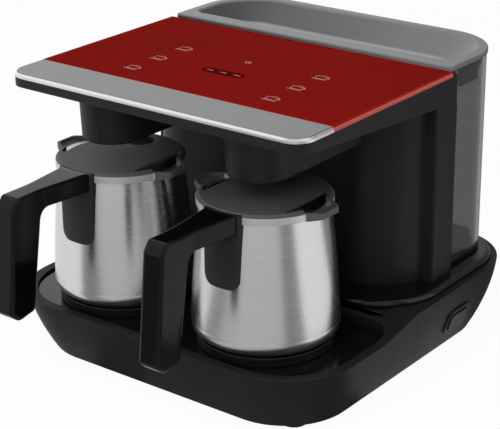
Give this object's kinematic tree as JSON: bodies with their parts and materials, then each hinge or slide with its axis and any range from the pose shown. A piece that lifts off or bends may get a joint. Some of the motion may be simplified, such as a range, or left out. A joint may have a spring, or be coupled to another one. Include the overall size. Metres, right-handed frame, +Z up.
{
  "type": "electric turkish coffee maker",
  "caption": "Electric coffee maker with hotplates for steel pots, a touch head reaching over them on hollow arms, and a lift-off smoked water tank behind a rounded tower.",
  "frame": {"origin": "on the standing surface, under the middle of the whole object in width and depth", "axes": "+Z up, -Y towards the user, where the handles are, +X to the right-hand side, where the power button is"},
  "size_m": [0.289, 0.3538, 0.2183],
  "materials": {
    "base_plastic": "fine matte moulded plastic, charcoal",
    "tower_plastic": "fine matte moulded plastic, charcoal",
    "gloss_black": "high-gloss black plastic",
    "touch_glass": "deep red back-painted glass panel, gloss",
    "silver_strip": "satin silver trim with a bright front bevel",
    "button_plastic": "satin grey-black plastic",
    "inner_plastic": "inner moulded plastic and boards",
    "rubber": "soft black rubber",
    "steel_fixings": "plain steel",
    "hot_metal": "cast and turned aluminium",
    "pump_metal": "pump body",
    "clear_hose": "silicone hose",
    "pot_steel": "stainless steel brushed around the pot",
    "collar_plastic": "matte dark grey plastic",
    "pot_foot_plastic": "black heat-proof plastic",
    "smoked_clear": "smoked clear plastic",
    "lid_plastic": "smoked grey translucent plastic, satin",
    "clip_plastic": "black plastic"
  },
  "bodies": {
    "root": {"base_housing": "base_plastic", "base_bottom_plate": "base_plastic", "tower_housing": "tower_plastic", "arm_shell_left": "tower_plastic", "arm_shell_right": "tower_plastic", "head_shell": "tower_plastic", "rear_cap": "tower_plastic", "pot_tray": "gloss_black", "gloss_deck": "gloss_black", "touch_glass": "touch_glass", "front_strip": "silver_strip", "button_bezel": "button_plastic", "power_switch": "inner_plastic", "touch_board": "inner_plastic", "power_board": "inner_plastic", "foam_sensor_left": "inner_plastic", "foam_sensor_right": "inner_plastic", "tank_seat": "inner_plastic", "rubber_feet": "rubber", "tank_seal": "rubber", "pump_mounts": "rubber", "cord_gland": "rubber", "base_screws": "steel_fixings", "board_screws": "steel_fixings", "touch_pads": "steel_fixings", "spout_left": "steel_fixings", "spout_right": "steel_fixings", "heater_plate_left": "hot_metal", "heater_plate_right": "hot_metal", "heating_elements": "hot_metal", "temperature_sensors": "hot_metal", "water_pump_left": "pump_metal", "water_pump_right": "pump_metal", "suction_hose_left": "clear_hose", "suction_hose_right": "clear_hose", "delivery_hose_left": "clear_hose", "delivery_hose_right": "clear_hose"},
    "power_button": {"power_button": "button_plastic", "switch_plunger": "steel_fixings"},
    "water_tank": {"tank_body": "smoked_clear", "tank_valve": "inner_plastic", "tank_filter": "inner_plastic"},
    "tank_lid": {"tank_lid": "lid_plastic", "lid_gasket": "rubber", "lid_clips": "clip_plastic"},
    "pot_left": {"pot_body_left": "pot_steel", "pot_heat_disc_left": "hot_metal", "pot_foot_left": "pot_foot_plastic", "pot_collar_left": "collar_plastic", "pot_handle_left": "gloss_black", "handle_saddle_left": "collar_plastic", "handle_screws_left": "steel_fixings"},
    "pot_right": {"pot_body_right": "pot_steel", "pot_heat_disc_right": "hot_metal", "pot_foot_right": "pot_foot_plastic", "pot_collar_right": "collar_plastic", "pot_handle_right": "gloss_black", "handle_saddle_right": "collar_plastic", "handle_screws_right": "steel_fixings"}
  },
  "joints": [
    {"name": "power_button_press", "type": "slide", "parent": "root", "child": "power_button", "axis": [-0.9525, 0, 0.3045], "range_m": [0, 0.0015], "stiffness_N_per_m": 400},
    {"name": "tank_lift", "type": "slide", "parent": "root", "child": "water_tank", "axis": [0, 0, 1], "range_m": [0, 0.06]},
    {"name": "lid_lift", "type": "slide", "parent": "water_tank", "child": "tank_lid", "axis": [0, 0, 1], "range_m": [0, 0.03]},
    {"name": "pot_left_lift", "type": "slide", "parent": "root", "child": "pot_left", "axis": [0, 0, 1], "range_m": [0, 0.008]},
    {"name": "pot_right_lift", "type": "slide", "parent": "root", "child": "pot_right", "axis": [0, 0, 1], "range_m": [0, 0.008]}
  ]
}
